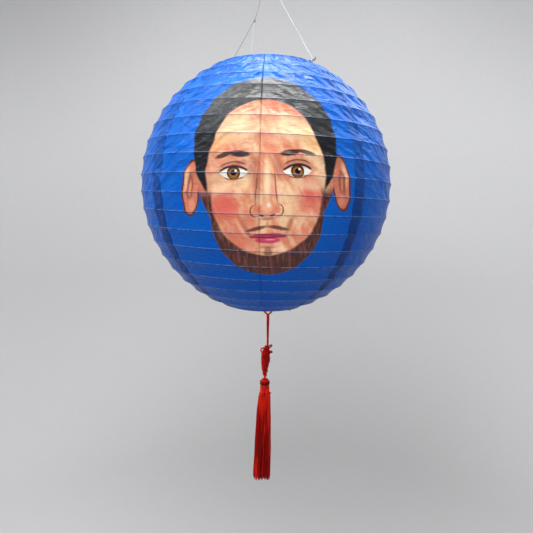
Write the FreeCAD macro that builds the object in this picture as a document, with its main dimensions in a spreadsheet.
"""A 40 cm paper lantern: eight paper gores over a spiral wire rib, held open by a
bent wire expander, hung on a nylon sling, with a red tassel below.

Millimetres, +Z up. The origin is the centre of the hanging ring's bore, whose axis is Y.
Heights in the sheet are counted from the lantern's own centre, which hangs centre_drop
below the origin. Azimuths are counted from the front (-Y), positive towards +X.
"""
import FreeCAD, Part
import math
import os
import Sketcher

SIZES = {
    # lantern shell
    "centre_drop": (345, "lantern centre below the hanging ring's centre"),
    "equator_radius": (200, "widest outer radius of the paper"),
    "meridian_radius": (206.5, "radius of the arc that each gore follows from top to bottom"),
    "top_edge": (187.8, "height of the paper's top edge"),
    "bottom_edge": (-195.8, "height of the paper's bottom edge"),
    "paper_thickness": (0.3, "thickness that the paper is drawn with"),
    "gore_count": (8, "sheets round the lantern"),
    "seam_azimuth": (-2, "azimuth of the seam nearest the front, degrees"),
    # wire rings and the spiral rib
    "ring_wire": (1.0, "radius of the ring wire"),
    "ring_inset": (1.95, "ring centreline inside the paper's edge"),
    "ring_shift": (1.2, "ring centreline from the edge's height, towards the middle"),
    "rib_wire": (0.5, "radius of the rib wire, over the corners of its section"),
    "rib_gap": (0.3, "clearance between the rib and the paper"),
    "rib_pitch": (7.24, "latitude that the rib climbs in one turn, degrees"),
    "rib_front": (2.7, "latitude of the rib's middle crossing of the front, degrees"),
    "rib_top": (62.5, "latitude where the rib starts, degrees"),
    "rib_bottom": (-68.5, "latitude where the rib ends, degrees"),
    # expander
    "expander_wire": (1.0, "radius of the expander wire"),
    "expander_azimuth": (60, "azimuth of the expander's plane, degrees"),
    "leg_reach": (50, "leg's distance from the axis"),
    "crossbar_drop": (5.4, "crossbar below the bottom ring"),
    "fit_gap": (0.3, "clearance between pieces that only touch"),
    "foot_reach": (3.9, "foot past the bottom ring's centreline"),
    "shoulder_reach": (2.6, "shoulder past the top ring's centreline"),
    "jog_height": (4.0, "height between the two runs of a foot or a shoulder"),
    "riser_inset": (4.5, "riser inside the top ring's centreline"),
    "hook_rise": (3.9, "hook above the top ring's centreline"),
    "hook_reach": (6.6, "hook past the top ring's centreline"),
    "hook_tip": (4.0, "height of the hook's upturned tip"),
    "wire_bend": (1.95, "bend radius of the expander's centreline"),
    # hanging ring and sling
    "bore_radius": (6.0, "bore of the hanging ring"),
    "ring_outer": (8.5, "outer radius of the hanging ring"),
    "ring_width": (2.4, "width of the hanging ring along its axis"),
    "eye_drop": (10.2, "centre of the ring's small eye below the bore's centre"),
    "eye_bore": (1.3, "radius of the eye's hole"),
    "eye_outer": (2.8, "outer radius of the eye"),
    "ring_round": (0.4, "rounding of the ring's outer edges"),
    "thread": (0.9, "diameter of the nylon thread"),
    "loop_radius": (2.3, "centreline radius of the thread loop through the eye"),
    "knot_radius": (2.2, "radius of the top knot"),
    "knot_half": (3.0, "half height of the top knot"),
    "left_knot_reach": (24.0, "left knot's distance from the axis"),
    "left_knot_rise": (263.5, "left knot's height"),
    "left_knot_radius": (1.3, "radius of the left knot"),
    "left_knot_half": (2.6, "half length of the left knot"),
    "tie_inset": (1.1, "middle of the thread tie, outside the top ring's centreline"),
    "tie_length": (3.2, "length of the thread tie along the hook"),
    "tie_radius": (2.1, "outer radius of the thread tie"),
    # tassel
    "cord": (2.4, "diameter of the red cord"),
    "cord_place": (6.6, "tassel's place on the crossbar, from the axis"),
    "cord_side": (1.3, "each strand's distance from the cord's middle"),
    "loop_half": (7.0, "half width of the cord's loop over the crossbar"),
    "loop_top": (-197.3, "height of the cord's centreline over the crossbar"),
    "loop_shoulder": (-206.0, "height where the loop starts to close"),
    "loop_foot": (-217.0, "height where the two strands meet"),
    "knotwork_top": (-265.5, "top of the knotwork"),
    "knotwork_bottom": (-320.8, "bottom of the knotwork"),
    "round_loop_radius": (3.8, "centreline radius of the knotwork's round loop"),
    "round_loop_cord": (1.5, "radius of the round loop's cord"),
    "ear_length": (5.0, "half length of an ear"),
    "ear_radius": (2.2, "radius of an ear"),
    "head_axis": (1.7, "x of the tassel head's axis"),
    "head_top": (-322.9, "top of the tassel head"),
    "head_bottom": (-348.7, "bottom of the tassel head"),
    "head_radius": (7.7, "radius of the tassel head"),
    "head_dome": (6.0, "rounding of the head's top"),
    "head_bore": (1.5, "radius of the cord's way into the head"),
    "pocket_radius": (3.4, "radius of the pocket for the stop knot"),
    "pocket_top": (-333.0, "top of the pocket"),
    "pocket_bottom": (-341.0, "bottom of the pocket"),
    "neck_gap": (0.8, "clearance under the knotwork, for the tassel to sway"),
    "stop_knot_radius": (3.1, "radius of the stop knot"),
    "binding_top": (-329.5, "top of the binding"),
    "binding_height": (4.8, "height of the binding"),
    "binding_wall": (0.9, "thickness of the binding"),
    "skirt_bottom": (-505.5, "lowest point of the skirt"),
}
ARCS_PER_TURN = 8
RIB_FLATS = 6  # the rib's round section is drawn with this many flats
ARC_SHARE = 0.45  # share of the shorter run that an arc of a cord takes at each end

doc = FreeCAD.newDocument("PaperLantern")
sheet = doc.addObject("Spreadsheet::Sheet", "sizes")
for row, (name, (value, meaning)) in enumerate(SIZES.items(), start=1):
    sheet.set(f"A{row}", name)
    sheet.set(f"B{row}", str(value))
    sheet.set(f"C{row}", meaning)
    sheet.setAlias(f"B{row}", name)
doc.recompute()

nodes = {}


def size(name):
    """The value of a cell of the sheet."""
    return float(sheet.get(name))


def vector(x, y, z):
    """A point from its x, its y and its height above the lantern's centre."""
    return FreeCAD.Vector(x, y, z - size("centre_drop"))


def towards(azimuth, reach, height):
    """A point from its azimuth, its distance from the axis and its height."""
    turn = math.radians(azimuth)
    return vector(reach * math.sin(turn), -reach * math.cos(turn), height)


def bind(thing, **expressions):
    """Binds properties to cells; a double underscore in a name stands for a dot."""
    for name, expression in expressions.items():
        thing.setExpression(name.replace("__", "."), expression)


def node(thing, label):
    """Names a finished sub-part."""
    thing.Label = label
    nodes[label] = thing
    return thing


def feature(label, shape):
    """A sub-part whose shape is made here, in place, from the sheet's sizes."""
    thing = doc.addObject("Part::Feature", label)
    thing.Shape = shape
    thing.Placement = FreeCAD.Placement()
    return node(thing, label)


def new_body(label):
    body = doc.addObject("PartDesign::Body", label)
    return node(body, label)


def new_sketch(body, name, role="XY_Plane", height=None):
    """A sketch on one of the body's own origin planes, at a height bound to the sheet."""
    sketch = body.newObject("Sketcher::SketchObject", name)
    plane = next(f for f in body.Origin.OriginFeatures if f.Role == role)
    sketch.AttachmentSupport = [(plane, "")]
    sketch.MapMode = "FlatFace"
    if height is not None:
        sketch.setExpression("AttachmentOffset.Base.z", height)
    return sketch


def constrain(sketch, kind, *where, bound=None):
    """Adds a constraint, and binds it to an expression if it has a size."""
    number = sketch.addConstraint(Sketcher.Constraint(kind, *where))
    if bound is not None:
        sketch.setExpression(f"Constraints[{number}]", bound)


def circle(sketch, radius, x="0 mm"):
    """A circle on the sketch's x axis, with its radius and its centre bound."""
    start = size(radius) if radius in SIZES else 1.0
    normal = FreeCAD.Vector(0, 0, 1)
    at = sketch.addGeometry(Part.Circle(FreeCAD.Vector(start, 0, 0), normal, start))
    constrain(sketch, "PointOnObject", at, 3, -1)
    constrain(sketch, "DistanceX", -1, 1, at, 3, start, bound=x)
    constrain(sketch, "Radius", at, start, bound=cell(radius))


def cell(name):
    """An expression for a cell's value as a length, or the expression itself."""
    return f"sizes.{name} * 1 mm" if name in SIZES else name


def check_volume(label, shape, expected, tolerance=0.01):
    """Stops the build if a solid's volume isn't what its size says."""
    if abs(shape.Volume - expected) > tolerance * expected:
        raise RuntimeError(f"{label}: volume {shape.Volume:.1f}, expected {expected:.1f}")


# ---- wires and cords -------------------------------------------------------

def rounded(points, radius=None):
    """A wire of straight runs joined by tangent arcs through a list of points.

    Each arc has the given radius, or the largest that leaves every run a straight middle.
    Returns the wire and the radii.
    """
    edges, radii, last = [], [], points[0]
    for before, corner, after in zip(points, points[1:], points[2:]):
        into, out = corner - before, after - corner
        half = into.getAngle(out) / 2
        run = min(into.Length, out.Length)
        bend = radius or ARC_SHARE * run / math.tan(half)
        trim = bend * math.tan(half)
        start = corner - into.normalize() * trim
        end = corner + out.normalize() * trim
        inward = (out - into).normalize()
        middle = corner + inward * (bend / math.cos(half) - bend)
        edges += [Part.LineSegment(last, start).toShape(), Part.Arc(start, middle, end).toShape()]
        radii.append(bend)
        last = end
    edges.append(Part.LineSegment(last, points[-1]).toShape())
    return Part.Wire(edges), radii


def tube(label, points, diameter, bend=None):
    """A round wire or cord along a list of points, as a sub-part."""
    path, radii = rounded(points, bend)
    section = Part.Circle(points[0], points[1] - points[0], diameter / 2).toShape()
    solid = path.makePipeShell([Part.Wire([section])], True, True, 2)
    check_volume(label, solid, math.pi * diameter**2 / 4 * path.Length)
    tightest = f", tightest bend {min(radii):.1f}" if radii else ""
    print(f"{label}: length {path.Length:.1f}{tightest}")
    return feature(label, solid)


# ---- shell -----------------------------------------------------------------

def edge_radius(height):
    """Outer radius of the paper at a height, from the meridian arc."""
    shift = size("meridian_radius") - size("equator_radius")
    return math.sqrt(size("meridian_radius") ** 2 - height**2) - shift


TOP_RING_RADIUS = edge_radius(size("top_edge")) - size("ring_inset")
TOP_RING_HEIGHT = size("top_edge") - size("ring_shift")
BOTTOM_RING_RADIUS = edge_radius(size("bottom_edge")) - size("ring_inset")
BOTTOM_RING_HEIGHT = size("bottom_edge") + size("ring_shift")


def paper_gore(number):
    """One sheet: a meridian arc of paper, revolved from seam to seam."""
    body = new_body(f"paper_gore_{number}")
    sketch = new_sketch(body, f"gore_section_{number}", "XZ_Plane")
    outer_radius = size("meridian_radius")
    inner_radius = outer_radius - size("paper_thickness")
    centre = FreeCAD.Vector(size("equator_radius") - outer_radius, 0, 0)
    normal = FreeCAD.Vector(0, 0, 1)
    ends = []
    for arc_radius in (outer_radius, inner_radius):
        low = math.asin(size("bottom_edge") / arc_radius)
        high = math.asin(size("top_edge") / arc_radius)
        ends.append((low, high))
    outer, inner = [
        sketch.addGeometry(Part.ArcOfCircle(Part.Circle(centre, normal, r), low, high))
        for r, (low, high) in zip((outer_radius, inner_radius), ends)
    ]
    shape = sketch.Geometry
    bottom = sketch.addGeometry(Part.LineSegment(shape[outer].StartPoint, shape[inner].StartPoint))
    top = sketch.addGeometry(Part.LineSegment(shape[outer].EndPoint, shape[inner].EndPoint))
    for line, end in ((bottom, 1), (top, 2)):
        constrain(sketch, "Coincident", outer, end, line, 1)
        constrain(sketch, "Coincident", inner, end, line, 2)
        constrain(sketch, "Horizontal", line)
    constrain(sketch, "Coincident", outer, 3, inner, 3)
    constrain(sketch, "PointOnObject", outer, 3, -1)
    constrain(sketch, "DistanceX", outer, 3, -1, 1, -centre.x,
              bound="(sizes.meridian_radius - sizes.equator_radius) * 1 mm")
    constrain(sketch, "Radius", outer, outer_radius, bound="sizes.meridian_radius * 1 mm")
    constrain(sketch, "Radius", inner, inner_radius,
              bound="(sizes.meridian_radius - sizes.paper_thickness) * 1 mm")
    constrain(sketch, "DistanceY", -1, 1, outer, 2, size("top_edge"), bound="sizes.top_edge * 1 mm")
    constrain(sketch, "DistanceY", outer, 1, -1, 1, -size("bottom_edge"),
              bound="-sizes.bottom_edge * 1 mm")
    turn = body.newObject("PartDesign::Revolution", f"gore_turn_{number}")
    turn.Profile = sketch
    turn.ReferenceAxis = (sketch, ["V_Axis"])
    turn.Reversed = True
    bind(turn, Angle="360 deg / sizes.gore_count")
    first_seam = size("seam_azimuth") - 90
    body.Placement = FreeCAD.Placement(
        vector(0, 0, 0),
        FreeCAD.Rotation(FreeCAD.Vector(0, 0, 1), first_seam + (number - 1) * 360 / size("gore_count")),
    )
    bind(body, Placement__Base__z="-sizes.centre_drop * 1 mm")


def wire_ring(label, radius, height):
    """A closed ring of wire, level, round the lantern's axis."""
    ring = doc.addObject("Part::Torus", label)
    edge, side = ("top_edge", "-") if height > 0 else ("bottom_edge", "+")
    edge_reach = (f"sqrt(sizes.meridian_radius^2 - sizes.{edge}^2)"
                  " - sizes.meridian_radius + sizes.equator_radius")
    bind(
        ring,
        Radius1=f"({edge_reach} - sizes.ring_inset) * 1 mm",
        Radius2="sizes.ring_wire * 1 mm",
        Placement__Base__z=f"(sizes.{edge} {side} sizes.ring_shift - sizes.centre_drop) * 1 mm",
    )
    doc.recompute()
    check_volume(label, ring.Shape, 2 * math.pi**2 * radius * size("ring_wire") ** 2)
    node(ring, label)


def rib_point(latitude):
    """A point of the spiral rib's centreline; latitude in degrees."""
    turns = (size("rib_front") - latitude) / size("rib_pitch")
    inset = size("paper_thickness") + size("rib_gap") + size("rib_wire")
    arc = size("meridian_radius") - inset
    reach = arc * math.cos(math.radians(latitude)) - (size("meridian_radius") - size("equator_radius"))
    return towards(turns * 360, reach, arc * math.sin(math.radians(latitude)))


def spiral_rib():
    """One wire from ring to ring, as a chain of short arcs that follow the spiral."""
    top, bottom = size("rib_top"), size("rib_bottom")
    arcs = round((top - bottom) / size("rib_pitch") * ARCS_PER_TURN)
    points = [rib_point(top + (bottom - top) * i / (2 * arcs)) for i in range(2 * arcs + 1)]
    path = Part.Wire([Part.Arc(*points[2 * i:2 * i + 3]).toShape() for i in range(arcs)])
    along = path.Edges[0].tangentAt(path.Edges[0].FirstParameter)
    side = along.cross(FreeCAD.Vector(0, 0, 1)).normalize()
    across = along.cross(side).normalize()
    turns = [2 * math.pi * flat / RIB_FLATS for flat in range(RIB_FLATS)]
    corners = [points[0] + (side * math.cos(turn) + across * math.sin(turn)) * size("rib_wire")
               for turn in turns]
    solid = path.makePipeShell([Part.makePolygon(corners + corners[:1])], True, True, 2)
    area = RIB_FLATS / 2 * math.sin(2 * math.pi / RIB_FLATS) * size("rib_wire") ** 2
    check_volume("spiral_rib", solid, area * path.Length)
    print(f"spiral_rib: length {path.Length:.0f} in {arcs} arcs")
    feature("spiral_rib", solid)


# ---- expander --------------------------------------------------------------

HOOK_HEIGHT = TOP_RING_HEIGHT + size("hook_rise")
CROSSBAR_HEIGHT = BOTTOM_RING_HEIGHT - size("crossbar_drop")


def expander():
    """One bent wire: hook, shoulder, leg, foot, crossbar, and the same again mirrored."""
    touch = size("ring_wire") + size("expander_wire") + size("fit_gap")
    leg, jog = size("leg_reach"), size("jog_height")
    foot = BOTTOM_RING_RADIUS + size("foot_reach")
    foot_height = BOTTOM_RING_HEIGHT + touch
    shoulder = TOP_RING_RADIUS + size("shoulder_reach")
    shoulder_height = TOP_RING_HEIGHT - touch
    riser = TOP_RING_RADIUS - size("riser_inset")
    hook = TOP_RING_RADIUS + size("hook_reach")
    half = [
        (leg, CROSSBAR_HEIGHT),
        (leg, foot_height),
        (foot, foot_height),
        (foot, foot_height + jog),
        (leg, foot_height + jog),
        (leg, shoulder_height - jog),
        (shoulder, shoulder_height - jog),
        (shoulder, shoulder_height),
        (riser, shoulder_height),
        (riser, HOOK_HEIGHT),
        (hook, HOOK_HEIGHT),
        (hook, HOOK_HEIGHT + size("hook_tip")),
    ]
    azimuth = size("expander_azimuth")
    left = [towards(azimuth, -reach, height) for reach, height in reversed(half)]
    right = [towards(azimuth, reach, height) for reach, height in half]
    tube("expander", left + right, 2 * size("expander_wire"), size("wire_bend"))


# ---- hanging ring and sling ------------------------------------------------

def hanging_ring():
    """A flat ring with a plain bore along Y, and a small eye below it for the thread."""
    body = new_body("hanging_ring")
    normal = FreeCAD.Vector(0, 0, 1)
    for label, kind, holes in (("hanging_ring_plate", "Pad", False), ("hanging_ring_holes", "Pocket", True)):
        last = None
        for part, radius, drop in (("ring", "bore_radius" if holes else "ring_outer", None),
                                   ("eye", "eye_bore" if holes else "eye_outer", "eye_drop")):
            sketch = new_sketch(body, f"{label}_{part}", "XZ_Plane")
            start = FreeCAD.Vector(0, -size(drop) if drop else 0, 0)
            number = sketch.addGeometry(Part.Circle(start, normal, size(radius)))
            if drop:
                constrain(sketch, "PointOnObject", number, 3, -2)
                constrain(sketch, "DistanceY", number, 3, -1, 1, size(drop), bound=cell(drop))
            else:
                constrain(sketch, "Coincident", number, 3, -1, 1)
            constrain(sketch, "Radius", number, size(radius), bound=cell(radius))
            last = body.newObject(f"PartDesign::{kind}", f"{label}_{part}_{kind.lower()}")
            last.Profile = sketch
            last.Midplane = True
            bind(last, Length="sizes.ring_width * 1 mm")
            doc.recompute()
    outside = [
        f"Edge{i}" for i, edge in enumerate(last.Shape.Edges, start=1)
        if any(abs(getattr(edge.Curve, "Radius", 0) - size(name)) < 0.01
               for name in ("ring_outer", "eye_outer"))
        and abs(abs(edge.Vertexes[0].Y) - size("ring_width") / 2) < 0.01
    ]
    fillet = body.newObject("PartDesign::Fillet", "hanging_ring_round")
    fillet.Base = (last, outside)
    bind(fillet, Radius="sizes.ring_round * 1 mm")


LOOP_HEIGHT = -size("eye_drop") - size("loop_radius")
KNOT_HEIGHT = LOOP_HEIGHT - size("loop_radius") - size("thread") / 2 - size("fit_gap") - size("knot_half")
SLING_TOP = size("centre_drop") + KNOT_HEIGHT - size("knot_half") - size("fit_gap")
SLING_BOTTOM = HOOK_HEIGHT + size("tie_radius") + size("fit_gap") + size("thread") / 2
TIE_REACH = TOP_RING_RADIUS + size("tie_inset")


def thread_loop():
    """The thread's loop through the eye of the hanging ring, round its lowest stretch."""
    loop = doc.addObject("Part::Torus", "thread_loop")
    bind(loop, Radius1="sizes.loop_radius * 1 mm", Radius2="sizes.thread / 2 * 1 mm",
         Placement__Base__z="-(sizes.eye_drop + sizes.loop_radius) * 1 mm")
    loop.Placement.Rotation = FreeCAD.Rotation(FreeCAD.Vector(0, 1, 0), 90)
    node(loop, "thread_loop")


def knot(label, radius, half, at, axis):
    """A knot as an egg shape: its half length lies along the axis."""
    egg = doc.addObject("Part::Ellipsoid", label)
    bind(egg, Radius1=cell(half), Radius2=cell(radius), Radius3=cell(radius))
    turn = FreeCAD.Rotation(FreeCAD.Vector(0, 0, 1), axis)
    egg.Placement = FreeCAD.Placement(at, turn)
    return node(egg, label)


def sling():
    """Knots, strands and ties between the hanging ring and the expander's hooks."""
    right = size("expander_azimuth")
    left = right + 180
    up = FreeCAD.Vector(0, 0, 1)
    knot("top_knot", "knot_radius", "knot_half", FreeCAD.Vector(0, 0, KNOT_HEIGHT), up)

    left_route = [
        towards(left, TIE_REACH, SLING_BOTTOM),
        towards(left, size("left_knot_reach"), size("left_knot_rise")),
        towards(left, 16.9, 283.0),
        towards(left, 14.6, 297.0),
        towards(left, 9.5, 311.0),
        towards(left, 1.2, SLING_TOP),
    ]
    tube("thread_left", left_route, size("thread"))
    knot("thread_left_knot", "left_knot_radius", "left_knot_half", left_route[1],
         left_route[2] - left_route[0])
    tail = [
        towards(left, 25.6, size("left_knot_rise") - 3.4),
        towards(left, 27.5, 243.0),
        towards(left, 29.3, 227.3),
        towards(left, 30.4, 211.5),
        towards(left, 30.8, 197.0),
    ]
    tube("thread_tail", tail, size("thread"))

    # the two right strands bow apart by about a thread's width
    for label, bow, place, top in (
        ("thread_right_front", -1.5, 0.8, FreeCAD.Vector(0.9, -1.3, 0)),
        ("thread_right_back", 1.2, -0.8, FreeCAD.Vector(1.2, 0.4, 0)),
    ):
        start = towards(right, TIE_REACH + place, SLING_BOTTOM)
        end = vector(0, 0, SLING_TOP) + top
        span = end - start
        side = span.cross(up).normalize()
        route = [start]
        for share, amount in ((0.2, 0.5), (0.45, 1.0), (0.72, 0.75)):
            sag = FreeCAD.Vector(0, 0, -0.9 * amount)
            route.append(start + span * share + side * (bow * amount) + sag)
        tube(label, route + [end], size("thread"))

    for label, azimuth in (("thread_tie_left", left), ("thread_tie_right", right)):
        wrap = doc.addObject("Part::Cylinder", f"{label}_wrap")
        hole = doc.addObject("Part::Cylinder", f"{label}_hole")
        bind(wrap, Radius="sizes.tie_radius * 1 mm", Height="sizes.tie_length * 1 mm")
        bind(hole, Radius="(sizes.expander_wire + 0.05) * 1 mm", Height="sizes.tie_length * 1 mm")
        tie = doc.addObject("Part::Cut", label)
        tie.Base, tie.Tool = wrap, hole
        outward = towards(azimuth, 1, 0) - towards(azimuth, 0, 0)
        start = towards(azimuth, TIE_REACH - size("tie_length") / 2, HOOK_HEIGHT)
        tie.Placement = FreeCAD.Placement(start, FreeCAD.Rotation(up, outward))
        node(tie, label)


# ---- tassel ----------------------------------------------------------------

CORD_X = size("cord_place") * math.sin(math.radians(size("expander_azimuth")))
CORD_Y = -size("cord_place") * math.cos(math.radians(size("expander_azimuth")))


def tassel_cord():
    """The doubled cord: up one strand, over the crossbar and down the other."""
    half, side = size("loop_half"), size("cord_side")
    strand = [
        (side, size("knotwork_top") + size("fit_gap")),
        (side, size("loop_foot")),
        (half, size("loop_shoulder")),
        (half, size("loop_top")),
    ]
    route = strand + [(-x, height) for x, height in reversed(strand)]
    tube("tassel_cord", [vector(CORD_X + x, CORD_Y, height) for x, height in route], size("cord"))


def loft(label, sections):
    """A smooth body through level circles, each given as (radius, x, height)."""
    body = new_body(label)
    sketches = []
    for number, (radius, x, height) in enumerate(sections, start=1):
        sketch = new_sketch(body, f"{label}_section_{number}", height=f"{height} mm")
        circle(sketch, f"{radius} mm", f"{x} mm")
        sketches.append(sketch)
    skin = body.newObject("PartDesign::AdditiveLoft", f"{label}_loft")
    skin.Profile = sketches[0]
    skin.Sections = sketches[1:]
    body.Placement = FreeCAD.Placement(vector(0, CORD_Y, 0), FreeCAD.Rotation())
    bind(body, Placement__Base__z="-sizes.centre_drop * 1 mm")
    return body


def tassel_knot():
    """Knotwork: a tapering body with a round loop on the left and two ears on the right."""
    core = loft("knotwork_core", [
        (2.0, 2.1, size("knotwork_bottom")),
        (5.0, 1.4, -310),
        (7.4, 2.5, -290),
        (6.6, 3.2, -276),
        (3.2, 5.4, size("knotwork_top")),
    ])
    del nodes["knotwork_core"]
    ring = doc.addObject("Part::Torus", "knotwork_loop")
    bind(ring, Radius1="sizes.round_loop_radius * 1 mm", Radius2="sizes.round_loop_cord * 1 mm")
    level = FreeCAD.Rotation(FreeCAD.Vector(1, 0, 0), 90)
    ring.Placement = FreeCAD.Placement(vector(-1.8, CORD_Y, -273.9), level)
    ears = []
    for number, (x, height, lean) in enumerate(((9.3, -268.6, 50), (9.6, -276.6, 80)), start=1):
        ear = doc.addObject("Part::Ellipsoid", f"knotwork_ear_{number}")
        bind(ear, Radius1="sizes.ear_length * 1 mm", Radius2="sizes.ear_radius * 1 mm",
             Radius3="sizes.ear_radius * 1 mm")
        turn = FreeCAD.Rotation(FreeCAD.Vector(0, 1, 0), lean)
        ear.Placement = FreeCAD.Placement(vector(x, CORD_Y, height), turn)
        ears.append(ear)
    whole = doc.addObject("Part::MultiFuse", "tassel_knot")
    whole.Shapes = [core, ring] + ears
    node(whole, "tassel_knot")


def tassel_head():
    """A domed head with the cord's way in and a closed pocket for the stop knot."""
    body = new_body("tassel_head")
    sketch = new_sketch(body, "tassel_head_section", "XZ_Plane")
    radius, dome = size("head_radius"), size("head_dome")
    bore, pocket = size("head_bore"), size("pocket_radius")
    top, bottom = size("head_top"), size("head_bottom")
    corners = [
        (bore, top), (radius - dome, top), (radius, top - dome), (radius, bottom), (0, bottom),
        (0, size("pocket_bottom")), (pocket, size("pocket_bottom")), (pocket, size("pocket_top")),
        (bore, size("pocket_top")),
    ]
    points = [FreeCAD.Vector(x, y, 0) for x, y in corners]
    for number, (start, end) in enumerate(zip(points, points[1:] + points[:1])):
        if number == 1:
            centre = FreeCAD.Vector(radius - dome, top - dome, 0)
            round_top = Part.Circle(centre, FreeCAD.Vector(0, 0, 1), dome)
            sketch.addGeometry(Part.ArcOfCircle(round_top, 0, math.pi / 2))
        else:
            sketch.addGeometry(Part.LineSegment(start, end))
    # the arc runs from the head's side (its start) to the flat top (its end)
    ends = {1: (2, 1)}
    count = len(points)
    for number in range(count):
        after = (number + 1) % count
        kind = "Tangent" if 1 in (number, after) else "Coincident"
        constrain(sketch, kind, number, ends.get(number, (1, 2))[1],
                  after, ends.get(after, (1, 2))[0])
    for number in (0, 3, 5, 7):
        constrain(sketch, "Horizontal", number)
    for number in (2, 6, 8):
        constrain(sketch, "Vertical", number)
    constrain(sketch, "PointOnObject", 4, 1, -2)
    constrain(sketch, "PointOnObject", 4, 2, -2)
    constrain(sketch, "Radius", 1, dome, bound=cell("head_dome"))
    for line, end, name in ((0, 1, "head_bore"), (2, 1, "head_radius"), (6, 1, "pocket_radius")):
        constrain(sketch, "DistanceX", -1, 1, line, end, size(name), bound=cell(name))
    for line, end, name in ((0, 1, "head_top"), (3, 1, "head_bottom"), (5, 1, "pocket_bottom"),
                            (7, 1, "pocket_top")):
        constrain(sketch, "DistanceY", line, end, -1, 1, -size(name), bound=f"-sizes.{name} * 1 mm")
    turn = body.newObject("PartDesign::Revolution", "tassel_head_turn")
    turn.Profile = sketch
    turn.ReferenceAxis = (sketch, ["V_Axis"])
    turn.Angle = 360
    body.Placement = FreeCAD.Placement(vector(0, CORD_Y, 0), FreeCAD.Rotation())
    bind(body, Placement__Base__x="sizes.head_axis * 1 mm",
         Placement__Base__z="-sizes.centre_drop * 1 mm")


def tassel_binding():
    """Thread wound round the head: a short band with rounded edges."""
    body = new_body("tassel_binding")
    sketch = new_sketch(body, "tassel_binding_section",
                        height="(sizes.binding_top - sizes.binding_height) * 1 mm")
    circle(sketch, "(sizes.head_radius + 0.05) * 1 mm")
    circle(sketch, "(sizes.head_radius + sizes.binding_wall) * 1 mm")
    pad = body.newObject("PartDesign::Pad", "tassel_binding_pad")
    pad.Profile = sketch
    bind(pad, Length=cell("binding_height"))
    doc.recompute()
    outside = [
        f"Edge{i}" for i, edge in enumerate(pad.Shape.Edges, start=1)
        if edge.isClosed() and edge.Curve.Radius > size("head_radius") + size("binding_wall") / 2
    ]
    fillet = body.newObject("PartDesign::Fillet", "tassel_binding_round")
    fillet.Base = (pad, outside)
    bind(fillet, Radius="sizes.binding_wall / 2 * 1 mm")
    body.Placement = FreeCAD.Placement(vector(0, CORD_Y, 0), FreeCAD.Rotation())
    bind(body, Placement__Base__x="sizes.head_axis * 1 mm",
         Placement__Base__z="-sizes.centre_drop * 1 mm")


def tassel():
    """Neck, stop knot, head, binding and skirt."""
    neck_top = vector(size("head_axis"), CORD_Y, size("knotwork_bottom") - size("neck_gap"))
    stop = vector(size("head_axis"), CORD_Y, (size("pocket_top") + size("pocket_bottom")) / 2)
    neck = doc.addObject("Part::Cylinder", "tassel_neck")
    bind(neck, Radius="sizes.cord / 2 * 1 mm",
         Height="(sizes.knotwork_bottom - sizes.neck_gap - sizes.pocket_top + 1) * 1 mm")
    neck.Placement = FreeCAD.Placement(neck_top, FreeCAD.Rotation(FreeCAD.Vector(1, 0, 0), 180))
    node(neck, "tassel_neck")
    ball = doc.addObject("Part::Sphere", "tassel_stop_knot")
    bind(ball, Radius=cell("stop_knot_radius"))
    ball.Placement = FreeCAD.Placement(stop, FreeCAD.Rotation())
    node(ball, "tassel_stop_knot")
    tassel_head()
    tassel_binding()
    loft("tassel_skirt", [
        (8.6, 1.8, size("head_bottom")),
        (11.4, 0.2, -385),
        (13.3, -0.5, -438),
        (14.9, -2.2, size("skirt_bottom")),
    ])


# ---- whole -----------------------------------------------------------------

for gore in range(1, round(size("gore_count")) + 1):
    paper_gore(gore)
wire_ring("top_ring", TOP_RING_RADIUS, TOP_RING_HEIGHT)
wire_ring("bottom_ring", BOTTOM_RING_RADIUS, BOTTOM_RING_HEIGHT)
spiral_rib()
expander()
hanging_ring()
thread_loop()
sling()
tassel_cord()
tassel_knot()
tassel()
doc.recompute()

for thing in doc.Objects:
    if "Invalid" in thing.State or "Error" in thing.State:
        raise RuntimeError(f"{thing.Label} failed: {thing.State}")
os.makedirs("parts", exist_ok=True)
for label, thing in nodes.items():
    shape = thing.Shape
    if shape.isNull() or not shape.isValid() or not shape.Solids:
        raise RuntimeError(f"{label} has no valid solid")
    shape.exportStep(f"parts/{label}.step")
print(len(nodes), "sub-parts")
